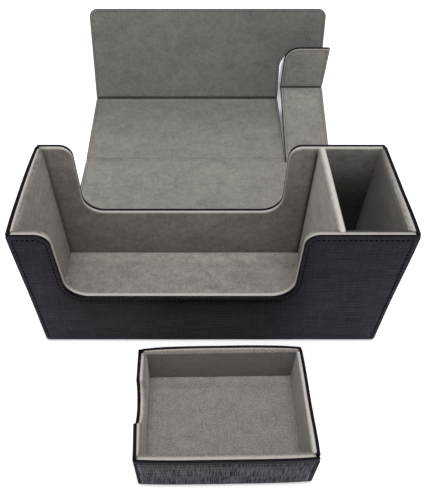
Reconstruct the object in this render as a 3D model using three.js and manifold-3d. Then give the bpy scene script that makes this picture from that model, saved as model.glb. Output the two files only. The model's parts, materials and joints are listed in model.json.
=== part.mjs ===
// Card storage box with a folding lid of five panels and a loose tray, in millimetres.
// +X runs along the box, +Y to its back and +Z up. The origin is the middle of its underside.
// It stands open: the back panel lies flat behind the box, both lids rise from its far edge,
// and the tray is set down in front.
import * as THREE from "three";
import { mergeVertices } from "three/addons/utils/BufferGeometryUtils.js";
import Module from "manifold-3d";

const wasm = await Module();
wasm.setup();

// Outside of the box
const boxLength = 225;
const boxDepth = 81;
const boxHeight = 104;

// Layers of the box walls: leatherette outside, board, microfibre inside
const leather = 0.9;
const microfibre = 0.9;
const outerLayer = 2.4; // how far the leatherette is turned in over the rim
const innerLayer = 2.5; // how far the microfibre is turned out over the rim
const endInset = 0.5; // the ends lie this far inside the edges of front and back
const floorBoard = 2.4;

// Compartments: the card bay takes what the end bay and the divider leave
const bayWidth = 34.6;
const dividerThickness = 4.2;
const dividerDrop = 0.8; // top of the divider below the rim

// Hand cut-outs in the front and back walls, centred on the card bay
const cutoutPost = 17.9; // wall left standing inside the card bay, at each side of a cut-out
const cutoutSill = 47; // height of their lower edge
const cutoutShoulderRadius = 8;
const cutoutFootRadius = 14;

// Layers of the folding panels, and the thin line of glue between them
const panelLeather = 0.8;
const panelBoard = 1;
const panelLining = 0.6;
const glueLine = 0.3;
const liningInset = 0.6; // leatherette edge left bare round the lining
const closedGap = 0.3; // air between box and panels when the box is shut

// Folding panels: a flap's length is measured from its hinge axis
const mainFlapHem = 22.9; // lower edge of the closed main flap above the table
const bayFlapLength = 44;
const mainFlapRadius = 7.5;
const bayFlapInnerRadius = 13; // corner next to the slit
const bayFlapOuterRadius = 1.5;
const slitWidth = 1;
const slitShift = 0.5; // slit to the right of the divider's middle

// How far each panel is folded as the box stands open, in degrees
const mainTopAngle = 6.3;
const mainFlapAngle = 63;
const bayTopAngle = 18.7;
const bayFlapAngle = 76.9;

// Disc magnets hidden in the flaps, and in the front board where the closed flaps lie
const magnetRadius = 5;
const wallMagnetThickness = 2;
const mainMagnetSpacing = 120;
const mainMagnetInset = 8.5; // centre of a magnet from the free edge of its flap
const bayMagnetInset = 9;

// Loose tray: it stands in the end bay on one of its short walls
const trayFaceClearance = 0.3; // at its floor and at its open side, in the bay
const trayEdgeClearance = 2.1; // at its long walls
const trayHeadroom = 2.8; // below the closed lid
const trayLeather = 0.8;
const trayBoard = 1.2;
const trayFloorBoard = 1.4;
const trayLining = 0.8;
const trayFloorLining = 0.6;
const trayOuterLayer = 1.9; // how far its leatherette is turned in over the rim
const thumbNotchRadius = 12.5;
const trayShift = 6.4; // its middle to the right of the box's middle
const trayGap = 27.2; // between the box and the tray set down in front
const trayAngle = 0.88; // degrees

const overrun = 5; // how far a cutter passes the faces it cuts
const arcSteps = 10;
const discSteps = 24;

// Places worked out from the sizes above
const wall = outerLayer + innerLayer;
const edgeSkin = Math.max(leather, microfibre);
const outerX = boxLength / 2;
const outerY = boxDepth / 2;
const seamX = outerX - outerLayer; // where leatherette meets microfibre on the rim
const seamY = outerY - outerLayer;
const innerX = outerX - wall;
const innerY = outerY - wall;
const cardBayLength = 2 * innerX - bayWidth - dividerThickness;
const floorBoardTop = leather + floorBoard;
const floorTop = floorBoardTop + microfibre;
const boardTop = boxHeight - edgeSkin;
const dividerLeft = -innerX + cardBayLength;
const dividerRight = dividerLeft + dividerThickness;
const dividerTop = boxHeight - dividerDrop;
const cutoutLeft = -innerX + cutoutPost;
const cutoutRight = dividerLeft - cutoutPost;
const panelThickness = panelLeather + panelBoard + panelLining + 2 * glueLine;
const skinHalf = panelLeather / 2; // the hinges bend in the middle of the leatherette
const innerFace = panelThickness - skinHalf;
const hingeHalf = innerFace + closedGap; // boards and linings stop this far from an axis
const tongueStart = skinHalf + closedGap;
const baseAxisY = outerY + closedGap + innerFace;
const lidAxisHeight = boxHeight + closedGap + innerFace;
const backPanelLength = lidAxisHeight - skinHalf;
const bayTopLength = 2 * baseAxisY;
const mainTopLength = bayTopLength + panelThickness + closedGap;
const mainFlapLength = lidAxisHeight - mainFlapHem;
const mainMagnetReach = mainFlapLength - mainMagnetInset; // from the flap's hinge axis
const bayMagnetReach = bayFlapLength - bayMagnetInset;
const slitMiddle = (dividerLeft + dividerRight) / 2 + slitShift;
const slitLeft = slitMiddle - slitWidth / 2;
const slitRight = slitMiddle + slitWidth / 2;
const notchReach = bayFlapLength + slitWidth; // the main flap is cut away round the bay flap
const notchRadius = bayFlapInnerRadius + slitWidth;
const bayMiddle = (dividerRight + innerX) / 2;
const trayHeight = bayWidth - 2 * trayFaceClearance;
const trayWidth = 2 * (innerY - trayEdgeClearance);
const trayLength = boxHeight - floorTop - trayHeadroom;

// Colours from the photograph
const leatherette = finish(0x2e2d32, 0.55);
const suede = finish(0x7f7a74, 0.95);
const greyboard = finish(0x8a7d6b, 0.9);
const steel = finish(0xb4b4b8, 0.35, 1);

function finish(color, roughness, metalness = 0) {
  return new THREE.MeshStandardMaterial({ color, roughness, metalness });
}

// Booleans on closed meshes
function toSolid(geometry) {
  const bare = geometry.clone();
  bare.deleteAttribute("normal");
  bare.deleteAttribute("uv");
  const merged = mergeVertices(bare);
  return new wasm.Manifold(
    new wasm.Mesh({
      numProp: 3,
      vertProperties: new Float32Array(merged.attributes.position.array),
      triVerts: new Uint32Array(merged.index.array),
    }),
  );
}

function toGeometry(solid) {
  const mesh = solid.getMesh();
  const geometry = new THREE.BufferGeometry();
  geometry.setAttribute("position", new THREE.BufferAttribute(mesh.vertProperties, 3));
  geometry.setIndex(new THREE.BufferAttribute(mesh.triVerts, 1));
  geometry.computeVertexNormals();
  return geometry;
}

function cut(geometry, cutters) {
  let solid = toSolid(geometry);
  for (const cutter of cutters) solid = solid.subtract(toSolid(cutter));
  return toGeometry(solid);
}

function join(first, second) {
  return toGeometry(toSolid(first).add(toSolid(second)));
}

// A box between two limits on each axis
function block([x0, x1], [y0, y1], [z0, z1]) {
  const geometry = new THREE.BoxGeometry(x1 - x0, y1 - y0, z1 - z0);
  return geometry.translate((x0 + x1) / 2, (y0 + y1) / 2, (z0 + z1) / 2);
}

function extrude(shape, depth) {
  return new THREE.ExtrudeGeometry(shape, { depth, bevelEnabled: false, curveSegments: arcSteps });
}

// An outline drawn in X and Z becomes a slab between two planes across Y
function slabAcrossY(shape, [y0, y1]) {
  return extrude(shape, y1 - y0).rotateX(Math.PI / 2).translate(0, y1, 0);
}

// An outline drawn in Y and Z becomes a slab between two planes across X
function slabAcrossX(shape, [x0, x1]) {
  const turn = new THREE.Matrix4().makeBasis(
    new THREE.Vector3(0, 1, 0),
    new THREE.Vector3(0, 0, 1),
    new THREE.Vector3(1, 0, 0),
  );
  return extrude(shape, x1 - x0).applyMatrix4(turn).translate(x0, 0, 0);
}

// An outline drawn in X and Y becomes a slab between two heights
function slabAcrossZ(shape, [z0, z1]) {
  return extrude(shape, z1 - z0).translate(0, 0, z0);
}

function piece(name, geometry, material) {
  const mesh = new THREE.Mesh(geometry, material);
  mesh.name = name;
  return mesh;
}

function mirrorRange([low, high]) {
  return [-high, -low];
}

// Front or back wall with its hand cut-out; shrink draws every free edge in by that much
function cutoutWall([x0, x1], z0, shrink) {
  const top = boxHeight - shrink;
  const left = cutoutLeft - shrink;
  const right = cutoutRight + shrink;
  const sill = cutoutSill - shrink;
  const shoulder = cutoutShoulderRadius - shrink;
  const foot = cutoutFootRadius + shrink;
  const shape = new THREE.Shape();
  shape.moveTo(x0, z0);
  shape.lineTo(x1, z0);
  shape.lineTo(x1, top);
  shape.lineTo(right + shoulder, top);
  shape.absarc(right + shoulder, top - shoulder, shoulder, Math.PI / 2, Math.PI, false);
  shape.absarc(right - foot, sill + foot, foot, 0, -Math.PI / 2, true);
  shape.absarc(left + foot, sill + foot, foot, -Math.PI / 2, -Math.PI, true);
  shape.absarc(left - shoulder, top - shoulder, shoulder, 0, Math.PI / 2, false);
  shape.lineTo(x0, top);
  return shape;
}

// Leatherette of the front or back: a sheet whose free edges are turned in round the board
function longCover(side) {
  const place = side < 0 ? (range) => range : mirrorRange;
  const sheet = slabAcrossY(cutoutWall([-outerX, outerX], 0, 0), place([-outerY, -seamY]));
  const pocket = slabAcrossY(
    cutoutWall([-seamX, seamX], leather, edgeSkin),
    place([-outerY + leather, -seamY + overrun]),
  );
  return cut(sheet, [pocket]);
}

function longBoard(side) {
  const place = side < 0 ? (range) => range : mirrorRange;
  const shape = cutoutWall([-seamX, seamX], leather, edgeSkin);
  return slabAcrossY(shape, place([-outerY + leather, -innerY - microfibre]));
}

// Microfibre of the front or back, turned outwards over the rim to meet the leatherette
function longLining(side) {
  const place = side < 0 ? (range) => range : mirrorRange;
  const sheetX = innerX + microfibre;
  const sheet = slabAcrossY(
    cutoutWall([-seamX, seamX], floorBoardTop, 0),
    place([-seamY, -innerY]),
  );
  const pocket = slabAcrossY(
    cutoutWall([-seamX - overrun, seamX + overrun], floorBoardTop - overrun, edgeSkin),
    place([-seamY - overrun, -innerY - microfibre]),
  );
  const ends = [
    [sheetX, seamX + overrun],
    [-seamX - overrun, -sheetX],
  ].map((xRange) =>
    block(xRange, place([-seamY - overrun, -innerY + overrun]), [-overrun, boardTop]),
  );
  return cut(sheet, [pocket, ...ends]);
}

function endCover(side) {
  const place = side > 0 ? (range) => range : mirrorRange;
  const sheet = block(place([seamX, outerX - endInset]), [-seamY, seamY], [0, boxHeight]);
  const boardY = innerY + microfibre;
  const pocket = block(
    place([seamX - overrun, outerX - endInset - leather]),
    [-boardY, boardY],
    [leather, boardTop],
  );
  return cut(sheet, [pocket]);
}

function endBoard(side) {
  const place = side > 0 ? (range) => range : mirrorRange;
  const boardY = innerY + microfibre;
  const xRange = place([innerX + microfibre, outerX - endInset - leather]);
  return block(xRange, [-boardY, boardY], [leather, boardTop]);
}

function endLining(side) {
  const place = side > 0 ? (range) => range : mirrorRange;
  const sheet = block(
    place([innerX, innerX + microfibre]),
    [-innerY, innerY],
    [floorBoardTop, boxHeight],
  );
  const turned = block(place([innerX, seamX]), [-innerY, innerY], [boardTop, boxHeight]);
  return join(sheet, turned);
}

// Pocket for one magnet in the outer face of the front board
function wallMagnetPocket(x, z) {
  const depth = wallMagnetThickness + glueLine;
  const disc = discAcrossY(magnetRadius + glueLine, depth + overrun);
  return disc.translate(x, -outerY + leather + depth - (depth + overrun) / 2, z);
}

function discAcrossY(radius, thickness) {
  return new THREE.CylinderGeometry(radius, radius, thickness, discSteps);
}

function wallMagnet(x, z) {
  const disc = discAcrossY(magnetRadius, wallMagnetThickness);
  return disc.translate(x, -outerY + leather + wallMagnetThickness / 2, z);
}

const wallMagnetPlaces = [
  ["wall_magnet_left", -mainMagnetSpacing / 2, lidAxisHeight - mainMagnetReach],
  ["wall_magnet_right", mainMagnetSpacing / 2, lidAxisHeight - mainMagnetReach],
  ["wall_magnet_bay", bayMiddle, lidAxisHeight - bayMagnetReach],
];

function boxWalls() {
  const pockets = wallMagnetPlaces.map(([, x, z]) => wallMagnetPocket(x, z));
  return [
    piece("front_cover", longCover(-1), leatherette),
    piece("back_cover", longCover(1), leatherette),
    piece("left_end_cover", endCover(-1), leatherette),
    piece("right_end_cover", endCover(1), leatherette),
    piece("front_board", cut(longBoard(-1), pockets), greyboard),
    piece("back_board", longBoard(1), greyboard),
    piece("left_end_board", endBoard(-1), greyboard),
    piece("right_end_board", endBoard(1), greyboard),
    piece("front_lining", longLining(-1), suede),
    piece("back_lining", longLining(1), suede),
    piece("left_end_lining", endLining(-1), suede),
    piece("right_end_lining", endLining(1), suede),
    ...wallMagnetPlaces.map(([name, x, z]) => piece(name, wallMagnet(x, z), steel)),
  ];
}

function boxFloor() {
  const boardX = innerX + microfibre;
  const boardY = innerY + microfibre;
  const base = block([-seamX, seamX], [-seamY, seamY], [0, leather]);
  const board = block([-boardX, boardX], [-boardY, boardY], [leather, floorBoardTop]);
  const liningHeights = [floorBoardTop, floorTop];
  const cardLining = block([-innerX, dividerLeft], [-innerY, innerY], liningHeights);
  const bayLining = block([dividerRight, innerX], [-innerY, innerY], liningHeights);
  return [
    piece("base_cover", base, leatherette),
    piece("floor_board", board, greyboard),
    piece("card_floor_lining", cardLining, suede),
    piece("bay_floor_lining", bayLining, suede),
  ];
}

// The divider's board stands on the floor board, with microfibre folded over it
function divider() {
  const boardX = [dividerLeft + microfibre, dividerRight - microfibre];
  const heights = [floorBoardTop, dividerTop - microfibre];
  const board = block(boardX, [-innerY, innerY], heights);
  const fold = block(
    [dividerLeft, dividerRight],
    [-innerY, innerY],
    [floorBoardTop, dividerTop],
  );
  const pocket = block(
    boardX,
    [-innerY - overrun, innerY + overrun],
    [floorBoardTop - overrun, dividerTop - microfibre],
  );
  return [
    piece("divider_board", board, greyboard),
    piece("divider_lining", cut(fold, [pocket]), suede),
  ];
}

// Strip of leatherette that bends: it ends in a half round on its hinge axis at axisY
function hingeStrip([x0, x1], startY, axisY) {
  const shape = new THREE.Shape();
  shape.moveTo(startY, -skinHalf);
  shape.lineTo(axisY, -skinHalf);
  shape.absarc(axisY, 0, skinHalf, -Math.PI / 2, Math.PI / 2, false);
  shape.lineTo(startY, skinHalf);
  return slabAcrossX(shape, [x0, x1]);
}

// Outline of a panel, with its two far corners rounded, and a notch at its near right corner
function panelOutline([x0, x1], [y0, y1], [leftRadius, rightRadius], notch) {
  const shape = new THREE.Shape();
  shape.moveTo(x0, y0);
  if (notch) {
    const { x, y, radius } = notch;
    shape.lineTo(x, y0);
    shape.absarc(x + radius, y - radius, radius, Math.PI, Math.PI / 2, true);
    shape.lineTo(x1, y);
  } else {
    shape.lineTo(x1, y0);
  }
  if (rightRadius > 0) {
    shape.absarc(x1 - rightRadius, y1 - rightRadius, rightRadius, 0, Math.PI / 2, false);
  } else {
    shape.lineTo(x1, y1);
  }
  if (leftRadius > 0) {
    shape.absarc(x0 + leftRadius, y1 - leftRadius, leftRadius, Math.PI / 2, Math.PI, false);
  } else {
    shape.lineTo(x0, y1);
  }
  return shape;
}

// The same outline drawn in by an inset along its sides and its notch
function drawnIn({ xRange, radii, notch }, yRange, inset) {
  return panelOutline(
    [xRange[0] + inset, xRange[1] - inset],
    yRange,
    radii.map((radius) => Math.max(radius - inset, 0)),
    notch && { x: notch.x - inset, y: notch.y + inset, radius: notch.radius + inset },
  );
}

// And at its far edge too, where that is free
function insetOutline(panel, nearY, inset) {
  const farY = panel.hinged ? panel.length - hingeHalf : panel.length - inset;
  return drawnIn(panel, [nearY, farY], inset);
}

// Leatherette skin with its edges turned up round the board, and a flat tongue at the hinge
function panelCover(panel) {
  const top = skinHalf + glueLine + panelBoard;
  const sheet = slabAcrossZ(insetOutline(panel, tongueStart, 0), [-skinHalf, top]);
  const farY = panel.hinged ? panel.length : panel.length - panelLeather;
  const pocket = drawnIn(panel, [tongueStart - overrun, farY], panelLeather);
  const heights = [skinHalf, top + overrun];
  const tongue = block(
    [panel.xRange[0] - overrun, panel.xRange[1] + overrun],
    [tongueStart - overrun, hingeHalf],
    heights,
  );
  return cut(sheet, [slabAcrossZ(pocket, heights), tongue]);
}

// Disc of a flap magnet, standing in the thickness of the panel's board
function panelDisc(radius, [z0, z1], x, y) {
  const disc = discAcrossY(radius, z1 - z0).rotateX(Math.PI / 2);
  return disc.translate(x, y, (z0 + z1) / 2);
}

// Cover, board, lining and magnets of one panel, lying flat from its hinge axis along +Y
function panelPieces(panel) {
  const { name, magnets } = panel;
  const boardInset = panelLeather + glueLine;
  const boardZ = [skinHalf + glueLine, skinHalf + glueLine + panelBoard];
  const holeZ = [boardZ[0] - overrun, boardZ[1] + overrun];
  const board = slabAcrossZ(insetOutline(panel, hingeHalf, boardInset), boardZ);
  const holes = magnets.map(([, x, y]) => panelDisc(magnetRadius + glueLine, holeZ, x, y));
  const lining = slabAcrossZ(
    insetOutline(panel, hingeHalf, liningInset),
    [innerFace - panelLining, innerFace],
  );
  return [
    piece(name + "_cover", panelCover(panel), leatherette),
    piece(name + "_board", cut(board, holes), greyboard),
    piece(name + "_lining", lining, suede),
    ...magnets.map(([disc, x, y]) => piece(disc, panelDisc(magnetRadius, boardZ, x, y), steel)),
  ];
}

function panelHinge(name, xRange, length) {
  return piece(name, hingeStrip(xRange, length - hingeHalf + glueLine, length), leatherette);
}

const mainX = [-outerX, slitLeft];
const bayX = [slitRight, outerX];
const square = [0, 0];

const backPanel = {
  name: "back_panel",
  xRange: [-outerX, outerX],
  length: backPanelLength,
  hinged: true,
  radii: square,
  magnets: [],
};
const mainTop = {
  name: "main_top",
  xRange: mainX,
  length: mainTopLength,
  hinged: true,
  radii: square,
  magnets: [],
};
const mainFlap = {
  name: "main_flap",
  xRange: [-outerX, outerX],
  length: mainFlapLength,
  hinged: false,
  radii: [mainFlapRadius, mainFlapRadius],
  notch: { x: slitLeft, y: notchReach, radius: notchRadius },
  magnets: [
    ["flap_magnet_left", -mainMagnetSpacing / 2, mainMagnetReach],
    ["flap_magnet_right", mainMagnetSpacing / 2, mainMagnetReach],
  ],
};
const bayTop = {
  name: "bay_top",
  xRange: bayX,
  length: bayTopLength,
  hinged: true,
  radii: square,
  magnets: [],
};
const bayFlap = {
  name: "bay_flap",
  xRange: bayX,
  length: bayFlapLength,
  hinged: false,
  radii: [bayFlapInnerRadius, bayFlapOuterRadius],
  magnets: [["bay_flap_magnet", bayMiddle, bayMagnetReach]],
};

// A group that turns about the far hinge of the panel it hangs on
function folded(distance, degrees, contents) {
  const group = new THREE.Group();
  group.position.set(0, distance, 0);
  group.rotation.x = THREE.MathUtils.degToRad(degrees);
  group.add(...contents);
  return group;
}

function lids() {
  const mainFlapGroup = folded(mainTopLength, mainFlapAngle, panelPieces(mainFlap));
  const bayFlapGroup = folded(bayTopLength, bayFlapAngle, panelPieces(bayFlap));
  const mainTopGroup = folded(backPanelLength, mainTopAngle, [
    ...panelPieces(mainTop),
    panelHinge("main_flap_hinge", mainX, mainTopLength),
    mainFlapGroup,
  ]);
  const bayTopGroup = folded(backPanelLength, bayTopAngle, [
    ...panelPieces(bayTop),
    panelHinge("bay_flap_hinge", bayX, bayTopLength),
    bayFlapGroup,
  ]);
  const group = new THREE.Group();
  group.position.set(0, baseAxisY, skinHalf);
  group.add(
    ...panelPieces(backPanel),
    panelHinge("main_top_hinge", mainX, backPanelLength),
    panelHinge("bay_top_hinge", bayX, backPanelLength),
    mainTopGroup,
    bayTopGroup,
  );
  return group;
}

function baseHinge() {
  const strip = hingeStrip([-outerX, outerX], outerY, baseAxisY).translate(0, 0, skinHalf);
  return piece("base_hinge", strip, leatherette);
}

// End wall of the tray in Y and Z; the notched one has a half-round thumb notch in its rim
function trayWallOutline([y0, y1], z0, shrink, notched) {
  const top = trayHeight - shrink;
  const notch = thumbNotchRadius + shrink;
  const reach = Math.asin(shrink / notch);
  const shape = new THREE.Shape();
  shape.moveTo(y0, z0);
  shape.lineTo(y1, z0);
  shape.lineTo(y1, top);
  if (notched) shape.absarc(0, trayHeight, notch, -reach, -Math.PI + reach, true);
  shape.lineTo(y0, top);
  return shape;
}

const trayHalfX = trayLength / 2;
const trayHalfY = trayWidth / 2;
const traySideBottom = trayLeather + glueLine;
const trayFloorBoardTop = traySideBottom + trayFloorBoard;
const trayBoardOut = trayLeather + glueLine; // outer face of a wall board, from outside
const trayBoardIn = trayBoardOut + trayBoard;
const trayLiningOut = trayBoardIn + glueLine;
const trayLiningIn = trayLiningOut + trayLining;
const trayTurnedIn = trayOuterLayer + glueLine; // where the lining's turned edge starts

// Leatherette of a short wall, turned in over the rim and round any notch
function trayEndCover(side, notched) {
  const place = side > 0 ? (range) => range : mirrorRange;
  const reachY = trayHalfY - trayBoardOut;
  const sheet = slabAcrossX(
    trayWallOutline([-reachY, reachY], traySideBottom, 0, notched),
    place([trayHalfX - trayOuterLayer, trayHalfX]),
  );
  const pocket = slabAcrossX(
    trayWallOutline([-reachY - overrun, reachY + overrun], -overrun, trayLeather, notched),
    place([trayHalfX - trayOuterLayer - overrun, trayHalfX - trayLeather]),
  );
  const cornerY = trayHalfY - trayTurnedIn;
  const inside = place([trayHalfX - trayOuterLayer - overrun, trayHalfX - trayLeather]);
  const through = place([trayHalfX - trayOuterLayer - overrun, trayHalfX + overrun]);
  const belowRim = trayHeight - trayLeather - glueLine;
  const corners = [
    [cornerY, trayHalfY],
    [-trayHalfY, -cornerY],
  ].flatMap((yRange) => [
    block(inside, yRange, [-overrun, trayHeight + overrun]),
    block(through, yRange, [belowRim, trayHeight + overrun]),
  ]);
  return cut(sheet, [pocket, ...corners]);
}

function trayEndBoard(side, notched) {
  const place = side > 0 ? (range) => range : mirrorRange;
  const reachY = trayHalfY - trayBoardIn - glueLine;
  const shape = trayWallOutline(
    [-reachY, reachY],
    trayFloorBoardTop + glueLine,
    trayLeather + glueLine,
    notched,
  );
  return slabAcrossX(shape, place([trayHalfX - trayBoardIn, trayHalfX - trayBoardOut]));
}

function trayLongCover(side) {
  const place = side > 0 ? (range) => range : mirrorRange;
  const sheet = block(
    [-trayHalfX, trayHalfX],
    place([trayHalfY - trayLeather, trayHalfY]),
    [traySideBottom, trayHeight],
  );
  const turned = block(
    [-trayHalfX, trayHalfX],
    place([trayHalfY - trayOuterLayer, trayHalfY]),
    [trayHeight - trayLeather, trayHeight],
  );
  return join(sheet, turned);
}

function trayLongBoard(side) {
  const place = side > 0 ? (range) => range : mirrorRange;
  const reachX = trayHalfX - trayBoardOut;
  return block(
    [-reachX, reachX],
    place([trayHalfY - trayBoardIn, trayHalfY - trayBoardOut]),
    [trayFloorBoardTop + glueLine, trayHeight - trayLeather - glueLine],
  );
}

// A rectangle standing back from the outside of the tray by an inset, between two heights
function trayCore(inset, heights) {
  const x = trayHalfX - inset;
  const y = trayHalfY - inset;
  return block([-x, x], [-y, y], heights);
}

// Microfibre round the inside, turned outwards over the rim
function traySideLining() {
  const bottom = trayFloorBoardTop + glueLine;
  const sheet = trayCore(trayLiningOut, [bottom, trayHeight]);
  const turned = trayCore(trayTurnedIn, [trayHeight - trayLeather, trayHeight]);
  const hollow = trayCore(trayLiningIn, [bottom - overrun, trayHeight + overrun]);
  const notch = slabAcrossX(
    new THREE.Shape().absarc(0, trayHeight, thumbNotchRadius, 0, 2 * Math.PI, false),
    [-trayHalfX - overrun, 0],
  );
  return cut(join(sheet, turned), [hollow, notch]);
}

function tray() {
  const floorLiningZ = trayFloorBoardTop + glueLine;
  const group = new THREE.Group();
  group.position.set(trayShift, -outerY - trayGap - trayHalfY, 0);
  group.rotation.z = THREE.MathUtils.degToRad(trayAngle);
  group.add(
    piece("tray_base_cover", trayCore(0, [0, trayLeather]), leatherette),
    piece("tray_front_cover", trayLongCover(-1), leatherette),
    piece("tray_back_cover", trayLongCover(1), leatherette),
    piece("tray_left_cover", trayEndCover(-1, true), leatherette),
    piece("tray_right_cover", trayEndCover(1, false), leatherette),
    piece(
      "tray_floor_board",
      trayCore(trayBoardOut, [traySideBottom, trayFloorBoardTop]),
      greyboard,
    ),
    piece("tray_front_board", trayLongBoard(-1), greyboard),
    piece("tray_back_board", trayLongBoard(1), greyboard),
    piece("tray_left_board", trayEndBoard(-1, true), greyboard),
    piece("tray_right_board", trayEndBoard(1, false), greyboard),
    piece("tray_side_lining", traySideLining(), suede),
    piece(
      "tray_floor_lining",
      trayCore(trayLiningIn + glueLine, [floorLiningZ, floorLiningZ + trayFloorLining]),
      suede,
    ),
  );
  return group;
}

const cardBox = new THREE.Group();
cardBox.add(...boxWalls(), ...boxFloor(), ...divider(), baseHinge(), lids(), tray());

export default cardBox;
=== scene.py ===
"""Looks of the card storage box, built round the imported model.

Sizes repeat those of the part's source, in millimetres; a mesh is scaled to metres as it is made.
"""

import json
import math

import bpy
import numpy as np
from mathutils import Matrix, Vector, noise
from mathutils.geometry import delaunay_2d_cdt

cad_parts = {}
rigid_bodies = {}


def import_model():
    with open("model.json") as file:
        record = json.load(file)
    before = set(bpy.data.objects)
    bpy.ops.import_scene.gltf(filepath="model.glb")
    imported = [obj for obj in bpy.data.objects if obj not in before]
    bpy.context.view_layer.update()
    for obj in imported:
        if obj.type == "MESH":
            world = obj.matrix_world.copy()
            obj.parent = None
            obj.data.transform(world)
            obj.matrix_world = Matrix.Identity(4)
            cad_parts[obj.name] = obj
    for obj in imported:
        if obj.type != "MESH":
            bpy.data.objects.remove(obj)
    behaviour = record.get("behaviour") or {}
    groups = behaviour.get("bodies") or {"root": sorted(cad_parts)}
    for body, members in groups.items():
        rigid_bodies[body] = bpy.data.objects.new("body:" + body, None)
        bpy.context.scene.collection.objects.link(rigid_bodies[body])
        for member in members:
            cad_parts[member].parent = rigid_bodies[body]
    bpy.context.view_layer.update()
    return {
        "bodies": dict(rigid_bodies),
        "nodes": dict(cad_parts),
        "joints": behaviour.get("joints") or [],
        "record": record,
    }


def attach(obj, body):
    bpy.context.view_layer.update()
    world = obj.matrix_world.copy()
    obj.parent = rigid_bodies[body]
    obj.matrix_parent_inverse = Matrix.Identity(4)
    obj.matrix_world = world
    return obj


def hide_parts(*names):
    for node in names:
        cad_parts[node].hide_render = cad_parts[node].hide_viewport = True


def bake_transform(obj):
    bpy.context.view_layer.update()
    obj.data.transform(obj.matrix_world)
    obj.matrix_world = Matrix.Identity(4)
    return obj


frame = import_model()

MM = 0.001

# Box
OUT_X, OUT_Y, TOP = 112.5, 40.5, 104.0
SKIN_DEPTH = 2.4  # leatherette-covered board
LIP_DEPTH = 2.5  # microfibre-covered board
SEAM_X, SEAM_Y = OUT_X - SKIN_DEPTH, OUT_Y - SKIN_DEPTH
IN_X, IN_Y = SEAM_X - LIP_DEPTH, SEAM_Y - LIP_DEPTH
FLOOR_LOW, FLOOR_TOP = 3.3, 4.2
DIVIDER = (68.8, 73.0)
DIVIDER_TOP = 104.2
CUT_LEFT, CUT_RIGHT, CUT_SILL = -89.7, 50.9, 47.0
SHOULDER, FOOT = 8.0, 14.0

# Folding panels, in their own frames: y from the hinge axis, z up from the middle of the skin
SKIN_LOW = -0.4
PANEL_TOP = 2.6
LINING_LOW = 1.95
HINGE = 2.9
BACK_LENGTH = 106.5
TOP_LENGTH = 90.1
FLAP_LENGTH = 84.0
BAY_TOP_LENGTH = 86.8
BAY_FLAP_LENGTH = 44.0
BACK_AXIS = (43.4, 0.4)
SLIT = (70.9, 71.9)
SLIT_TRIM = 0.3  # how far the soft skins bulge into the slit
NOTCH_REACH, NOTCH_CORNER = 45.0, 14.0  # main flap cut away round the bay flap
TOP_ANGLE, FLAP_ANGLE, BAY_TOP_ANGLE, BAY_FLAP_ANGLE = 6.3, 63.0, 18.7, 76.9

# Tray, in its own frame
TRAY_X, TRAY_Y, TRAY_TOP = 48.5, 33.5, 34.0
TRAY_SKIN, TRAY_WALL = 1.75, 3.4
TRAY_FLOOR = 3.4
TRAY_PAD = 1.5  # how high the lining's padding lifts the tray's floor
TRAY_PLACE = (6.4, -101.2, 0.88)
NOTCH = 12.5
WRAP_TOP = 30.0

# Stitching
PITCH, STITCH = 2.9, 2.1  # from stitch to stitch, and length of one
THREAD, FINE_THREAD = 0.4, 0.2
THREAD_SIDES = 6
STITCH_INSET = 2.5
STITCH_FOOT = 3.0  # where the upright rows start above the table

# Mesh of a covered board
STEP = 7.0
GROOVE_ROWS = (-0.75, -0.38, 0, 0.38, 0.75)  # mesh lines along a stitched groove
GROOVE_WIDTH = 0.42
GRID_CLEAR, ROW_CLEAR, GUIDE_CLEAR, GUIDE_END = 2.1, 1.6, 0.8, 0.3

X, Y, Z = 0, 1, 2


# Outlines in flat coordinates

def smooth(value, low, high):
    """From 0 at low to 1 at high, level at both ends."""
    share = np.clip((value - low) / (high - low), 0, 1)
    return share * share * (3 - 2 * share)


def turned(u, v, angle):
    """A flat place turned about the origin."""
    return u * np.cos(angle) - v * np.sin(angle), u * np.sin(angle) + v * np.cos(angle)


def rounded(corners, step=14.0):
    """Points of (u, v, radius) corners, each turned into an arc with a point every few degrees.

    They form an outline, or a path with two ends where the first and last radius are 0."""
    made = []
    for before, (u, v, radius), after in zip([corners[-1], *corners], corners, [*corners[1:], corners[0]]):
        here = np.array((u, v), float)
        if radius <= 0:
            made.append(here)
            continue
        before, after = (np.array(corner[:2], float) - here for corner in (before, after))
        before, after = before / np.linalg.norm(before), after / np.linalg.norm(after)
        half = math.acos(np.clip(before @ after, -1, 1)) / 2
        centre = here + (before + after) / np.linalg.norm(before + after) * (radius / math.sin(half))
        start = here + before * (radius / math.tan(half)) - centre
        turn = math.copysign(math.pi - 2 * half, after[0] * before[1] - after[1] * before[0])
        steps = max(2, math.ceil(math.degrees(abs(turn)) / step))
        made += [centre + turned(*start, turn * k / steps) for k in range(steps + 1)]
    return np.array(made)


def spread(points, step, closed=True):
    """Adds points so that no edge is longer than step."""
    made = []
    ends = np.roll(points, -1, axis=0) if closed else points[1:]
    for a, b in zip(points, ends):
        pieces = max(1, math.ceil(np.linalg.norm(b - a) / step))
        made.extend(a + (b - a) * k / pieces for k in range(pieces))
    if not closed:
        made.append(points[-1])
    return np.array(made)


def area(points):
    """Area of an outline, above 0 where it runs anticlockwise."""
    x, y = points.T
    return (x * np.roll(y, -1) - np.roll(x, -1) * y).sum() / 2


def lengths_along(path):
    """How far along a path each of its points lies."""
    return np.concatenate([[0], np.cumsum(np.linalg.norm(np.diff(path, axis=0), axis=1))])


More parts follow.
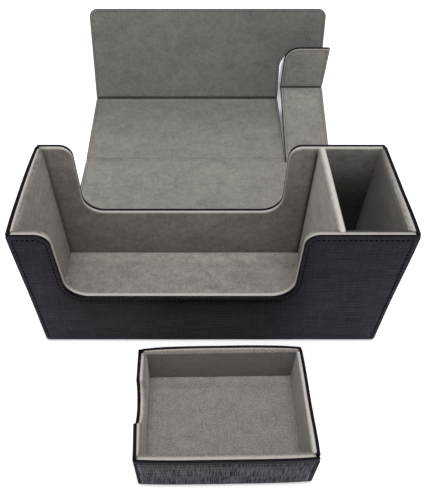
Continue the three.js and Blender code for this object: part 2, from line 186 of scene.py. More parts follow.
def outward(points, closed=True):
    """Outward mitre normals of an anticlockwise outline; of an open path, normals to its right."""
    if closed:
        before, after = points - np.roll(points, 1, axis=0), np.roll(points, -1, axis=0) - points
    else:
        legs = np.diff(points, axis=0)
        before, after = np.vstack([legs[:1], legs]), np.vstack([legs, legs[-1:]])
    before = before / np.linalg.norm(before, axis=1)[:, None]
    after = after / np.linalg.norm(after, axis=1)[:, None]
    n1 = np.stack([before[:, 1], -before[:, 0]], 1)
    n2 = np.stack([after[:, 1], -after[:, 0]], 1)
    both = n1 + n2
    return both / np.maximum((both * n1).sum(1), 0.3)[:, None]


def inside(points, polygon):
    """Which points lie in a polygon."""
    x, y = points[:, :1], points[:, 1:]
    x1, y1 = polygon.T
    x2, y2 = np.roll(polygon, -1, axis=0).T
    with np.errstate(divide="ignore", invalid="ignore"):
        cross = (y1 > y) != (y2 > y)
        at = x1 + (y - y1) * (x2 - x1) / (y2 - y1)
    return (cross & (x < at)).sum(1) % 2 == 1


def distance(points, path, closed=False):
    """Shortest distance from each point to a path."""
    ends = np.roll(path, -1, axis=0) if closed else path[1:]
    best = np.full(len(points), 1e9)
    for a, b in zip(path, ends):
        d = b - a
        t = np.clip(((points - a) @ d) / max(d @ d, 1e-12), 0, 1)
        best = np.minimum(best, np.linalg.norm(points - a - t[:, None] * d, axis=1))
    return best


# Frames and meshes

def turn_x(degrees):
    return np.array(Matrix.Rotation(math.radians(degrees), 4, "X"))


def shift(x, y, z):
    return np.array(Matrix.Translation((x, y, z)))


BOX = np.eye(4)
BACK = shift(0, *BACK_AXIS)
AT_TOP = BACK @ shift(0, BACK_LENGTH, 0)
MAIN_TOP = AT_TOP @ turn_x(TOP_ANGLE)
AT_FLAP = MAIN_TOP @ shift(0, TOP_LENGTH, 0)
MAIN_FLAP = AT_FLAP @ turn_x(FLAP_ANGLE)
BAY_TOP = AT_TOP @ turn_x(BAY_TOP_ANGLE)
AT_BAY_FLAP = BAY_TOP @ shift(0, BAY_TOP_LENGTH, 0)
BAY_FLAP = AT_BAY_FLAP @ turn_x(BAY_FLAP_ANGLE)
TRAY = shift(*TRAY_PLACE[:2], 0) @ np.array(Matrix.Rotation(math.radians(TRAY_PLACE[2]), 4, "Z"))


class Face:
    """A plane to build on, at a place on one axis of a frame; u and v run along the other two.

    It looks along its axis (sign 1) or against it (-1), and bow lifts it between its edges."""

    def __init__(self, frame, axis, at, sign, bow=None):
        unit = np.eye(3)
        self.frame, self.origin, self.bow = frame, unit[axis] * at, bow
        self.axes = np.array([*np.delete(unit, axis, 0), unit[axis] * sign])
        self.mirrored = np.linalg.det(self.axes) < 0

    def at(self, flat, height):
        flat = np.asarray(flat, float)
        height = np.broadcast_to(height, len(flat)) + (self.bow(flat) if self.bow else 0)
        local = np.column_stack([flat, height]) @ self.axes + self.origin
        return local @ self.frame[:3, :3].T + self.frame[:3, 3]


def given(value, points):
    """A value that is a number, or a function of flat points."""
    return value(points) if callable(value) else value


def make(name, points, faces, lay, edge, cloth, mirrored=False, tone=1.0):
    """A mesh object in metres, with its lay (flat cloth coordinates in mm), its edge share, where the
    lining's rolled edges take a painted highlight and the covering's a painted shade, and its tone, the
    painted light and shade.
    """
    mesh = bpy.data.meshes.new(name)
    if mirrored:
        faces = [f[::-1] for f in faces]
    mesh.from_pydata((np.asarray(points) * MM).tolist(), [], faces)
    for label, kind, field, values, shape in (("lay", "FLOAT_VECTOR", "vector", lay, (len(points), 3)),
                                              ("edge", "FLOAT", "value", edge, len(points)),
                                              ("tone", "FLOAT", "value", tone, len(points))):
        values = np.broadcast_to(np.asarray(values, np.float32), shape)
        mesh.attributes.new(label, kind, "POINT").data.foreach_set(field, values.ravel())
    mesh.validate()
    mesh.shade_smooth()
    piece = bpy.data.objects.new(name, mesh)
    bpy.context.scene.collection.objects.link(piece)
    material, slot = cloth
    mesh.materials.append(material)
    return piece


def wave(points, seed, scale):
    """Smooth noise from -1 to 1 at flat points."""
    return np.array([noise.noise(Vector((p[0] / scale, p[1] / scale, seed * 7.31))) for p in points])


def band(a, b, count):
    """Faces between two rings of points, which start at a and b."""
    return [[a + i, b + i, b + (i + 1) % count, a + (i + 1) % count] for i in range(count)]


def arc_profile(depth, near, far, steps=4):
    """(inset, depth) pairs round the edge of a plate, with a near and a far radius."""
    angles = [math.pi / 2 * k / steps for k in range(steps + 1)]
    return [(near + 0.35, 0.0),
            *((near * (1 - math.sin(a)), near * (1 - math.cos(a))) for a in angles),
            *((0.0, near + (depth - near - far) * share) for share in (0.4, 0.75)),
            *((far * (1 - math.cos(a)), depth - far * (1 - math.sin(a))) for a in angles),
            (far + 0.3, depth)]


def cap_triangles(ring):
    """Triangles of the area inside a ring, as indices of its points.

    Where the ring crosses itself at a tight corner, the crossing counts as its nearest point."""
    out = delaunay_2d_cdt([Vector(p) for p in ring], [], [list(range(len(ring)))], 1, 1e-5)
    first = [min(came) if came else int(((ring - np.array(place)) ** 2).sum(1).argmin())
             for place, came in zip(out[0], out[3])]
    made = [[first[i] for i in triangle] for triangle in out[2]]
    return [triangle for triangle in made if len(set(triangle)) == 3]


def cap(ring, paths, guides):
    """Fills a ring: a grid of points, rows beside each path, and the guides.

    Gives the new points, and triangles that count them on from the ring's own."""
    low, high = ring.min(0), ring.max(0)
    grid = np.stack(np.meshgrid(np.arange(low[0] + STEP / 2, high[0], STEP),
                                np.arange(low[1] + STEP / 2, high[1], STEP)), -1).reshape(-1, 2)
    grid = grid[inside(grid, ring)]
    grid = grid[distance(grid, ring, True) > GRID_CLEAR]
    lines = []
    for path in paths:
        path = spread(path, STEP, False)
        side = outward(path, False)
        grid = grid[distance(grid, path) > ROW_CLEAR]
        lines += [path + side * d for d in GROOVE_ROWS]
    for guide in guides:
        guide = spread(np.array(guide, float), STEP, False)
        grid = grid[distance(grid, guide) > GUIDE_CLEAR]
        guide = guide[inside(guide, ring)]
        lines.append(guide[distance(guide, ring, True) > GUIDE_END])
    count = len(ring)
    edges, base = [], count + len(grid)
    for line in lines:
        edges += [(base + i, base + i + 1) for i in range(len(line) - 1)]
        base += len(line)
    points = [Vector(p) for p in np.vstack([ring, grid, *lines])]
    out = delaunay_2d_cdt(points, edges, [list(range(count))], 1, 1e-5)
    index, added = [], []
    for place, came in zip(out[0], out[3]):
        first = min(came, default=count)
        index.append(first if first < count else count + len(added))
        if first >= count:
            added.append(tuple(place))
    return np.array(added).reshape(-1, 2), [[index[i] for i in triangle] for triangle in out[2]]


def plate(name, body, node, outline, face, depth, roll, cloth, seed=1.0, paths=(), guides=(), ripple=0.0,
          wobble=0.0, groove=0.0, tone=1.0, flare=None, rim=None, rim_tone=None):
    """A covered board: its near side rolls over round edges; paths sink in it as stitched grooves.

    It stands in for the node and moves with the body. roll is its near and far radius. tone, a number
    or a function of the flat points, is the painted light and shade of the piece; guides are lines that its
    mesh follows where the tone changes fast; flare moves only its far side outwards. The painted rim (a
    highlight on lining, a shade on covering) starts at rim, a number or a function of the outline, measured
    round the roll, and has rim_tone, a painted highlight, where given."""
    if area(outline) < 0:
        outline = outline[::-1]
    outline = spread(outline, STEP)
    if wobble:
        bend = wave(outline, seed + 3, 9.0) * 0.6 + wave(outline, seed + 5, 30.0) * 0.4
        outline = outline + outward(outline) * (bend * wobble - wobble / 2)[:, None]
    normals = outward(outline)
    near = roll[0]
    profile = np.array(arc_profile(depth, *roll))
    runs = lengths_along(profile)
    count = len(outline)
    rings = [outline - normals * inset for inset in profile[:, 0]]
    rim = 0.35 + 0.45 * near if rim is None else given(rim, outline)
    added, triangles = cap(rings[0], paths, guides)
    flat = np.vstack([*rings, added])
    deep = np.concatenate([np.repeat(profile[:, 1], count), np.zeros(len(added))])
    lay = np.vstack([*(outline - normals * (profile[0, 0] - run) for run in runs), added])
    edge = [np.clip((run - rim) / near, 0, 1) * np.ones(count) for run in runs]
    edge = np.concatenate([*edge, np.zeros(len(added))])
    fade = np.clip(1 - deep / max(near, 0.3), 0, 1)
    if ripple:
        deep = deep - fade * ripple * (wave(flat, seed, 34.0) + 0.45 * wave(flat, seed + 9, 13.0))
    for path in paths:
        deep = deep + fade * groove * np.exp(-(distance(flat, path) / GROOVE_WIDTH) ** 2)
    back = (len(profile) - 1) * count
    faces = [[i if i < count else back + i for i in triangle] for triangle in triangles]
    for a in range(0, back, count):
        faces += band(a, a + count, count)
    faces += [[back + i for i in triangle[::-1]] for triangle in cap_triangles(rings[-1])]
    if flare is not None:
        deep = deep * (1 + flare(flat) / depth)
    light = given(tone, flat)
    if rim_tone is not None:
        light = light + (rim_tone - light) * edge
    lay = np.column_stack([lay, np.full(len(lay), seed)])
    piece = make(name, face.at(flat, -deep), faces, lay, edge, cloth, face.mirrored, light)
    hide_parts(node)
    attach(piece, body)


def stitching(name, body, runs):
    """Thread along paths, moving with the body: runs is a list of (path, face, radius of the thread)."""
    points, faces, lay = [], [], []
    stations = ((-0.5, -0.34, 0.64), (-0.36, -0.17, 0.9), (-0.12, -0.115, 1.0),
                (0.12, -0.115, 1.0), (0.36, -0.17, 0.9), (0.5, -0.34, 0.64))
    angles = np.arange(THREAD_SIDES) * 2 * math.pi / THREAD_SIDES
    ends = len(stations) - 1
    number = 0
    for path, face, thick in runs:
        reach = lengths_along(path)
        count = max(1, round(reach[-1] / PITCH))
        pitch = reach[-1] / count
        for i in range(count):
            number += 1
            lean = 0.07 + 0.03 * noise.noise(Vector((number * 1.7, 3.1, 0)))
            base = len(points)
            for along, height, share in stations:
                s = (i + 0.5) * pitch + along * STITCH * (pitch / PITCH)
                behind, at, ahead = (np.array([np.interp(s + d, reach, axis) for axis in path.T])
                                     for d in (-0.2, 0, 0.2))
                way = (ahead - behind) / np.linalg.norm(ahead - behind)
                side = np.array([way[1], -way[0]])
                across = thick * share * np.cos(angles) + along * STITCH * lean
                points.extend(face.at(at + side * across[:, None], height + thick * share * np.sin(angles)))
                lay.extend((s, k, number) for k in range(THREAD_SIDES))
            made = [list(range(base, base + THREAD_SIDES)),
                    [base + ends * THREAD_SIDES + k for k in range(THREAD_SIDES)][::-1]]
            for a in range(base, base + ends * THREAD_SIDES, THREAD_SIDES):
                made += band(a, a + THREAD_SIDES, THREAD_SIDES)
            faces += [f[::-1] for f in made] if face.mirrored else made
    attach(make(name, points, faces, lay, 0.0, THREAD_DARK), body)


def fold(name, x_range, place, degrees, section, reach, cloth, nodes=(), seed=1.0,
         sag=0.0, dark=0.0):
    """A strip across a hinge, drawn flat in section (y, z), bent to the pose at rest and blended.

    It bends as far as reach from the hinge."""
    xs = np.linspace(*x_range, max(2, round((x_range[1] - x_range[0]) / 5)) + 1)
    section = np.array(section, float)
    run = lengths_along(section)
    count = len(section)
    flat_y, flat_z = section.T
    angle = np.radians(degrees) * smooth(flat_y, -reach, reach)
    points, lay = [], []
    for x in xs:
        low = sag * (1 - np.clip(abs(flat_y) / 2.4, 0, 1)) * noise.noise(Vector((x / 22, seed, 0)))
        points.append(np.column_stack([np.full(count, x), *turned(flat_y + low * 1.5, flat_z + low, angle)]))
        lay.append(np.column_stack([np.full(count, x), run, np.full(count, seed)]))
    points = np.vstack(points) @ place[:3, :3].T + place[:3, 3]
    last = (len(xs) - 1) * count
    faces = [list(range(count))[::-1], list(range(last, last + count))]
    for a in range(0, last, count):
        faces += band(a + count, a, count)
    # Painted shade along the crease: the strip darkens about the hinge's middle, as much as dark.
    tone = np.tile(1 - dark * np.exp(-(flat_y / 1.3) ** 2), len(xs))
    piece = make(name, points, faces, np.vstack(lay), 0.0, cloth, tone=tone)
    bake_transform(piece)
    if nodes:
        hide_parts(*nodes)


# Materials

class Nodes:
    """Short calls for the few kinds of node that the materials use."""

    def __init__(self, name):
        self.made = bpy.data.materials.new(name)
        self.made.use_nodes = True
        self.tree = self.made.node_tree
        self.shader = self.tree.nodes["Principled BSDF"]

    def put(self, socket, value):
        if isinstance(value, bpy.types.NodeSocket):
            self.tree.links.new(value, socket)
        else:
            socket.default_value = value

    def node(self, kind, inputs=(), **values):
        made = self.tree.nodes.new(kind)
        for key, value in values.items():
            setattr(made, key, value)
        for key, value in dict(inputs).items():
            self.put(made.inputs[key], value)
        return made

    def math(self, operation, a, b=0.0, clamp=False):
        return self.node("ShaderNodeMath", {0: a, 1: b}, operation=operation, use_clamp=clamp).outputs[0]

    def sum(self, *terms):
        """Total of (value, weight) pairs."""
        total, *others = (self.math("MULTIPLY", value, weight) for value, weight in terms)
        for other in others:
            total = self.math("ADD", total, other)
        return total

    def stored(self, name, output="Fac"):
        """A value that make keeps with each point of a mesh."""
        return self.node("ShaderNodeAttribute", attribute_name=name).outputs[output]

    # The colour times tone, the painted light and shade kept with each point.
    def toned(self, colour):
        return self.node("ShaderNodeVectorMath", {0: colour, "Scale": self.stored("tone")},
                         operation="SCALE").outputs[0]

    def product(self, first, *others):
        """All the values multiplied."""
        for other in others:
            first = self.math("MULTIPLY", first, other)
        return first

    def noise(self, vector, scale, detail=2.0, rough=0.5, spread=0.0):
        placed = self.node("ShaderNodeMapping", {"Vector": vector, "Scale": scale}, vector_type="POINT")
        inputs = {"Vector": placed.outputs[0], "Scale": 1.0, "Detail": detail, "Roughness": rough,
                  "Distortion": spread}
        return self.node("ShaderNodeTexNoise", inputs).outputs["Fac"]

    def ramp(self, value, low, high, to_low=0.0, to_high=1.0):
        return self.node("ShaderNodeMapRange", {"Value": value, "From Min": low, "From Max": high,
                                                "To Min": to_low, "To Max": to_high}).outputs[0]

    def mix(self, factor, a, b):
        return self.node("ShaderNodeMix", {0: factor, 6: a, 7: b}, data_type="RGBA").outputs[2]

    def bump(self, height, strength, deep):
        inputs = {"Height": height, "Strength": strength, "Distance": deep}
        return self.node("ShaderNodeBump", inputs).outputs[0]

    def set(self, **values):
        for key, value in values.items():
            self.put(self.shader.inputs[key.replace("_", " ")], value)
        return self.made


def linear(rgb, times=1.0):
    """Colour for a shader from values of 0 to 255 as seen on a screen, times a factor."""
    rgb = (c * times for c in rgb)
    return tuple(((c / 255 + 0.055) / 1.055) ** 2.4 if c > 10 else c / 255 / 12.92 for c in rgb) + (1.0,)


def leatherette(name, across=0.5, linen=1.0, dark=(8, 6, 10), light=(58, 53, 65), sharp=0.1,
                shine=0.16, upright=(1.35, 0.06), rim_shade=(3, 2, 5)):
    """Black bookbinding cloth in a pressed linen weave, with a slot name that nothing reads.

    across is the share of threads that run upright, and upright is how fine and how short these are.
    The last colour is that of turned edges, darker than the face: painted shade on the rolled rims."""
    n = Nodes(name)
    lay = n.stored("lay", "Vector")
    warp = n.noise(lay, (*upright, 1), 2.5, 0.66)
    weft = n.noise(lay, (0.05, 1.2, 1), 2.5, 0.66)
    fine = n.noise(lay, (3.5, 3.5, 1), 2, 0.6)
    threads = n.sum((warp, across), (weft, 1 - across))
    patches = n.noise(lay, (0.05, 0.06, 1), 3, 0.6)
    tone = n.math("ADD", n.math("MULTIPLY", n.ramp(threads, 0.5 - sharp, 0.5 + sharp), 0.7 * linen),
                  n.math("MULTIPLY", n.ramp(patches, 0.3, 0.7), 0.3), True)
    colour = n.toned(n.mix(tone, linear(dark), linear(light)))
    # Painted shade: the rolled edges take the darker rim colour.
    rim_shade_share = n.math("MULTIPLY", n.stored("edge"), 1.6, True)
    colour = n.mix(rim_shade_share, colour, linear(rim_shade))
    height = n.sum((threads, linen), (fine, 0.1))
    roughness = n.math("ADD", 0.52, n.math("MULTIPLY", tone, -0.16))
    return n.set(Base_Color=colour, Roughness=roughness, Normal=n.bump(height, 0.8, 0.0006),
                 Specular_IOR_Level=shine, Specular_Tint=linear((232, 224, 255))), "leatherette"


def suede(name, base=(130, 125, 121), rim=(182, 177, 171), cloud=0.16, mottle=0.16, streak=0.12, across=0.12,
          grain=0.36, spread=0.46):
    """Brushed microfibre, with a slot name that nothing reads: a speckle of fibres, faint streaks and stroked
    clouds.
    """
    n = Nodes(name)
    lay = n.stored("lay", "Vector")
    clouds = n.noise(lay, (0.06, 0.085, 1), 4, 0.62, 0.6)
    mottles = n.noise(lay, (0.24, 0.26, 1), 3, 0.6, 0.4)
    streaks = n.noise(lay, (0.3, 1.5, 1), 3, 0.62)
    upright = n.noise(lay, (1.3, 0.16, 1), 3, 0.6)
    fibre = n.noise(lay, (1.3, 1.4, 1), 4, 0.72)
    tone = n.sum((clouds, cloud), (mottles, mottle), (streaks, streak), (upright, across), (fibre, grain))
    middle = (cloud + mottle + streak + across + grain) / 2
    colour = n.mix(n.ramp(tone, middle - 0.16, middle + 0.16), linear(base, 1 - spread),
                   linear(base, 1 + spread))
    # The rim colour, lighter than the base, is a painted highlight: it is mixed in round the rolled edges,
    # where the nap's sheen would light them.
    rim_highlight = n.mix(fibre, linear(rim, 0.86), linear(rim, 1.12))
    colour = n.mix(n.math("MULTIPLY", n.math("POWER", n.stored("edge"), 1.3), 0.92), colour, rim_highlight)
    height = n.sum((fibre, 0.8), (streaks, 0.3))
    return n.set(Base_Color=n.toned(colour), Roughness=0.95, Normal=n.bump(height, 0.6, 0.00022),
                 Sheen_Weight=0.5, Sheen_Roughness=0.4, Sheen_Tint=linear((230, 225, 216)),
                 Specular_IOR_Level=0.12), "suede"


def thread(name, tone):
    """Twisted sewing thread, with a slot name that nothing reads."""
    n = Nodes(name)
    lay = n.stored("lay", "Vector")
    split = n.node("ShaderNodeSeparateXYZ", {"Vector": lay})
    twist = n.math("SINE", n.sum((split.outputs[0], 9.0), (split.outputs[1], math.pi / 3)))
    fuzz = n.noise(lay, (3, 3, 1), 2)
    colour = n.mix(n.ramp(n.math("ADD", twist, fuzz), -1, 2), linear(tone, 0.7), linear(tone, 1.5))
    return n.set(Base_Color=colour, Roughness=0.9, Normal=n.bump(twist, 0.5, 0.00008),
                 Specular_IOR_Level=0.05), "leatherette"


def board_paper(name):
    """Grey bookbinding board."""
    n = Nodes(name)
    place = n.node("ShaderNodeTexCoord").outputs["Object"]
    flecks = n.noise(place, (900, 900, 900), 4, 0.7)
    layers = n.noise(place, (60, 60, 60), 2)
    shade = n.ramp(n.math("ADD", flecks, layers), 0.7, 1.3)
    colour = n.mix(shade, linear((120, 108, 90)), linear((160, 148, 128)))
    return n.set(Base_Color=colour, Roughness=n.ramp(flecks, 0.3, 0.7, 0.85, 0.95),
                 Normal=n.bump(flecks, 0.4, 0.0002))


def nickel(name):
    """Scuffed plating of the magnets."""
    n = Nodes(name)
    place = n.node("ShaderNodeTexCoord").outputs["Object"]
    scuffs = n.noise(place, (700, 700, 90), 4, 0.6)
    colour = n.mix(n.ramp(scuffs, 0.3, 0.7), linear((190, 190, 194)), linear((214, 214, 217)))
    return n.set(Base_Color=colour, Metallic=1.0, Roughness=n.ramp(scuffs, 0.3, 0.7, 0.22, 0.38),
                 Normal=n.bump(scuffs, 0.2, 0.00005))


LINEN = leatherette("leatherette_linen", across=0.42, light=(54, 49, 61))
SMOOTH = leatherette("leatherette_turned", linen=0.3, light=(22, 19, 25), shine=0.11, rim_shade=(12, 10, 14))
TRAY_LINEN = leatherette("leatherette_tray", across=0.68, dark=(1, 1, 2), light=(116, 110, 120), sharp=0.05,
                         shine=0.03, upright=(1.9, 0.08))
SUEDE = suede("suede_lining")
SUEDE_END = suede("suede_end", streak=0.05, across=0.28, grain=0.3)
SUEDE_LID = suede("suede_lid", (130, 127, 122), cloud=0.16, mottle=0.14, streak=0.1, across=0.08, grain=0.34,
                  spread=0.32)
SUEDE_TRAY = suede("suede_tray", cloud=0.08, mottle=0.1, streak=0.06, across=0.08, grain=0.6, spread=0.5)
THREAD_DARK = thread("thread_dark", (7, 6, 9))

for node in frame["nodes"].values():
    wanted = board_paper if node.name.endswith("_board") else nickel if "magnet" in node.name else None
    if wanted:
        made = bpy.data.materials.get(wanted.__name__) or wanted(wanted.__name__)
        for material_slot in node.material_slots:
            material_slot.material = made


# Box

SKIN_ROLL, LIP_ROLL = (0.95, 0.45), (0.95, 0.5)  # near and far radius of a board's rolled edges
END_SKIN_ROLL, END_LIP_ROLL = (0.8, 0.4), (0.9, 0.5)
BASE_ROLL, PAD_ROLL, DIVIDER_ROLL = (0.4, 0.2), (0.35, 0.2), (1.25, 1.25)
BASE_SKIN = 0.9  # thickness of the covering under the box and the tray
END_PROUD = 0.2  # how far the end walls' covering stands out of the board's nominal size
SEAM_SHIFT = 1.2  # how far the front lining reaches out over the rim past its seam elsewhere
SPLAY_LEFT, SPLAY_RIGHT = 0.5, 0.8  # how far the front wall's upper corners stand out sideways
INTO_WALLS = 1.7  # how far the divider's lining reaches into the front and back linings
DIVIDER_MIDDLE = (DIVIDER[0] + DIVIDER[1]) / 2


def wall_outline(x0, x1, z0, low, high):
    """Front or back wall with its hand cut-out, in x and z."""
    return rounded([(x0, z0, low), (x1, z0, low), (x1, TOP, high), (CUT_RIGHT, TOP, SHOULDER),
                    (CUT_RIGHT, CUT_SILL, FOOT), (CUT_LEFT, CUT_SILL, FOOT),
                    (CUT_LEFT, TOP, SHOULDER), (x0, TOP, high)], 9.0)


def wall_stitches(top):
    """Row of stitches along the sides, top and cut-out of a long wall."""
    d = STITCH_INSET
    return rounded([(-OUT_X + d, STITCH_FOOT, 0), (-OUT_X + d, top, 1.0),
                    (CUT_LEFT - d, top, SHOULDER - d), (CUT_LEFT - d, CUT_SILL - d, FOOT + d),
                    (CUT_RIGHT + d, CUT_SILL - d, FOOT + d), (CUT_RIGHT + d, top, SHOULDER - d),
                    (OUT_X - d, top, 1.0), (OUT_X - d, STITCH_FOOT, 0)])


def rectangle(u0, u1, v0, v1, low, high=None):
    """A rectangle with the radius of its lower corners, and of its upper ones where that differs."""
    high = low if high is None else high
    return rounded([(u0, v0, low), (u1, v0, low), (u1, v1, high), (u0, v1, high)], 15.0)


def line_shade(value, at, width, strength):
    """A narrow line of painted shade at a place across a face."""
    return 1 - strength * np.exp(-((value - at) / width) ** 2)


def seam_shift(flat):
    """The front seam's shift at each point, full on the posts and none below the cut-out."""
    return SEAM_SHIFT * smooth(flat[:, 1], CUT_SILL + 5, TOP - 9)


def corner_splay(side, z):
    """How far an end of the front wall stands out sideways at each height."""
    return (SPLAY_LEFT if side < 0 else SPLAY_RIGHT) * smooth(z, 35, 92)


def splayed(outline):
    """The front wall's outline with its side edges standing out."""
    made = spread(outline, STEP)
    for side in (-1, 1):
        at_edge = made[:, 0] * side > OUT_X - 3
        made[at_edge, 0] += side * corner_splay(side, made[at_edge, 1])
    return made


def cross_outline(half, low, high, radius):
    """A sheet across the box whose near edge follows the front wall's seam at each height."""
    made = spread(rectangle(-half, half, low, high, radius), STEP)
    near = made[:, 0] < -half + 2
    made[near, 0] -= seam_shift(made[near])
    return made


def long_wall_tone(flat, rim_low=2.5, rim_high=1.0, rim_card=1.1, rim_bay=1.1):
    """Painted light and shade: lighter along the card bay, darker down the end bay, with painted shade lines
    in the left corner and beside the divider, and its own tone at the rim.
    """
    x, z = flat.T
    rim = smooth(z, TOP - rim_low, TOP - rim_high)
    in_bay = x > DIVIDER_MIDDLE
    inner = np.where(in_bay, 0.24 + 0.62 * smooth(z, 55, 104), 1.03)
    shade = line_shade(x, -IN_X, 1.6, 0.6) * line_shade(x, DIVIDER[0] - 0.5, 1.2, 0.95)
    return (inner * (1 - rim) + np.where(in_bay, rim_bay, rim_card) * rim) * shade


def front_wall_tone(flat):
    """The same, but the inner part of the rim is painted as dark as the bays behind it: painted shade."""
    return long_wall_tone(flat, 1.4, 0.5, 0.6, 0.12)


def left_wall_tone(flat):
    """Painted shade: even, with a dark corner at the back and a dark inner part of the rim."""
    y, z = flat.T
    face = 1.06 + 0.04 * smooth(z, 20, 70) - 0.4 * smooth(z, TOP - 0.9, TOP - 0.1)
    return face * line_shade(y, IN_Y, 1.4, 0.55)


def bay_wall_tone(flat):
    """Painted shade and light: darkest down in the far corner, lightest at the near upper edge."""
    y, z = flat.T
    light = 0.1 + 0.64 * smooth(z - y, 42, 138)
    return light * line_shade(y, IN_Y, 9.0, 0.6) + 0.3 * smooth(z, TOP - 3, TOP - 1)


def front_skin_tone(flat):
    """Painted shade: under the cut-out the covering catches least light, and elsewhere it darkens higher up.
    """
    x, z = flat.T
    middle = smooth(x, CUT_LEFT - 12, CUT_LEFT + 16) * (1 - smooth(x, CUT_RIGHT - 16, CUT_RIGHT + 14))
    return 1.18 - middle * (0.54 + 0.6 * smooth(z, 14, 44)) - 0.26 * (1 - middle) * smooth(z, 10, 70)


def grooved(tone, path):
    """The same tone, with painted shade along a row of stitches."""
    return lambda flat: tone(flat) * (1 - 0.15 * np.exp(-(distance(flat, path) / 0.6) ** 2))


def even(flat):
    """The same lightness everywhere."""
    return np.ones(len(flat))


def end_bow(side):
    """How far an end wall stands out along its top edge, the left one most."""
    def bow(flat):
        y, z = flat.T
        free = (1 - np.clip(abs(y) / SEAM_Y, 0, 1) ** 2) * smooth(z, 10, 100)
        most = 1.1 if side < 0 else 0.4 - 0.4 * y / SEAM_Y
        return free * most + corner_splay(side, z) * smooth(-y, 0, SEAM_Y)
    return bow


def upright(u, low, high):
    """A line up a face."""
    return [(u, low), (u, high)]


def front_rim(outline):
    """Where the front lining's painted light rim starts, measured round its roll."""
    return 0.78 + 0.88 * seam_shift(outline)


def long_wall(side, label, shape, sewn_top, skin_tone, skin_flare=None, **lining_look):
    """Front or back wall of the box: covering, thread and lining, with shape applied to their outlines."""
    facing = Face(BOX, Y, side * OUT_Y, side)
    path = wall_stitches(sewn_top)
    plate(label + "_skin", "box", label + "_cover", shape(wall_outline(-OUT_X, OUT_X, 0.0, 2.2, 2.0)), facing,
          SKIN_DEPTH, SKIN_ROLL, LINEN, seed=2 + side, paths=[path], ripple=0.07, groove=0.2,
          tone=grooved(skin_tone, path), flare=skin_flare)
    stitching(label + "_stitching", "box", [(path, facing, THREAD)])
    guides = [upright(x, FLOOR_LOW, TOP - 1)
              for x in (-IN_X + 1.3, -IN_X + 2.8, DIVIDER[0] - 3.2, DIVIDER[0] - 1.6, DIVIDER[0] - 0.4,
                        DIVIDER[0] + 2.0, DIVIDER[1] + 0.4)]
    plate(label + "_lip", "box", label + "_lining", shape(wall_outline(-SEAM_X, SEAM_X, FLOOR_LOW, 0.5, 1.2)),
          Face(BOX, Y, side * IN_Y, -side), LIP_DEPTH, LIP_ROLL, SUEDE, seed=5 + side, guides=guides,
          ripple=0.06, **lining_look)


def end_wall(side, label, **lining_look):
    """Left or right wall of the box, bowed, with its thread and lining."""
    bow = end_bow(side)
    facing = Face(BOX, X, side * (OUT_X + END_PROUD), side, bow)
    across, top = SEAM_Y - STITCH_INSET, TOP - STITCH_INSET
    path = rounded([(-across, STITCH_FOOT, 0), (-across, top, 1.0), (across, top, 1.0),
                    (across, STITCH_FOOT, 0)])
    plate(label + "_skin", "box", label + "_cover", cross_outline(SEAM_Y, 0.0, TOP, 0.9), facing,
          SKIN_DEPTH + END_PROUD, END_SKIN_ROLL, LINEN, seed=9 + side, paths=[path], ripple=0.07, groove=0.2,
          tone=grooved(even, path))
    stitching(label + "_stitching", "box", [(path, facing, THREAD)])
    plate(label + "_lip", "box", label + "_lining", cross_outline(IN_Y, FLOOR_LOW, TOP, 0.4),
          Face(BOX, X, side * IN_X, -side), LIP_DEPTH, END_LIP_ROLL, SUEDE_END, seed=12 + side,
          guides=[upright(IN_Y - d, FLOOR_LOW, TOP - 1) for d in (1.4, 2.8)],
          flare=lambda flat: bow(flat) + 0.45 * smooth(flat[:, 1], 40, 100), ripple=0.05, **lining_look)


def floor_tone(flat):
    """Painted light: lighter in the middle of the card bay than towards its ends, and at its far edge."""
    x, y = flat.T
    middle = (DIVIDER[0] - IN_X) / 2
    far = smooth(y, IN_Y - 11, IN_Y) * (x < DIVIDER[1])
    return (1.08 - 0.16 * np.clip(abs(x - middle) / 88, 0, 1.2) ** 2) * (1 + 0.7 * far)


def divider_tone(flat):
    """Painted light and shade: lighter towards the front, with a dark line where the back wall meets it."""
    y, z = flat.T
    below_top = 1 - smooth(z, TOP - 2, TOP)
    return (1.34 + 0.3 * smooth(-y, 0, IN_Y) * below_top) * line_shade(y, IN_Y, 1.6, 0.45 * below_top)


SEWN_TOP = TOP - STITCH_INSET
# rim_tone is a painted highlight on the linings' rims.
long_wall(-1, "front", splayed, SEWN_TOP - SEAM_SHIFT, front_skin_tone, lambda flat: -seam_shift(flat),
          tone=front_wall_tone, flare=seam_shift, rim=front_rim, rim_tone=1.1)
long_wall(1, "back", lambda outline: outline, SEWN_TOP, even, tone=long_wall_tone)
end_wall(-1, "left_end", tone=left_wall_tone, rim=1.8, rim_tone=1.15)
end_wall(1, "right_end", tone=bay_wall_tone, rim=1.5)

plate("base_skin", "box", "base_cover", rectangle(-SEAM_X, SEAM_X, -SEAM_Y, SEAM_Y, 1.2),
      Face(BOX, Z, 0, -1), BASE_SKIN, BASE_ROLL, LINEN, seed=15, ripple=0.03)
for label, x0, x1 in (("card_floor", -IN_X, DIVIDER[0]), ("bay_floor", DIVIDER[1], IN_X)):
    plate(label + "_sheet", "box", label + "_lining", rectangle(x0, x1, -IN_Y, IN_Y, 0.5),
          Face(BOX, Z, FLOOR_TOP, 1), FLOOR_TOP - FLOOR_LOW, PAD_ROLL, SUEDE, seed=18 + x0 / 50, ripple=0.1,
          tone=floor_tone)
plate("divider_sheet", "box", "divider_lining", cross_outline(IN_Y + INTO_WALLS, FLOOR_LOW, DIVIDER_TOP, 1.7),
      Face(BOX, X, DIVIDER[0], -1), DIVIDER[1] - DIVIDER[0], DIVIDER_ROLL, SUEDE_END, seed=22,
      guides=[upright(IN_Y - d, FLOOR_LOW + 1, DIVIDER_TOP - 2) for d in (0.0, 1.4, 2.8)],
      ripple=0.08, tone=divider_tone, rim=1.6)


# Lids

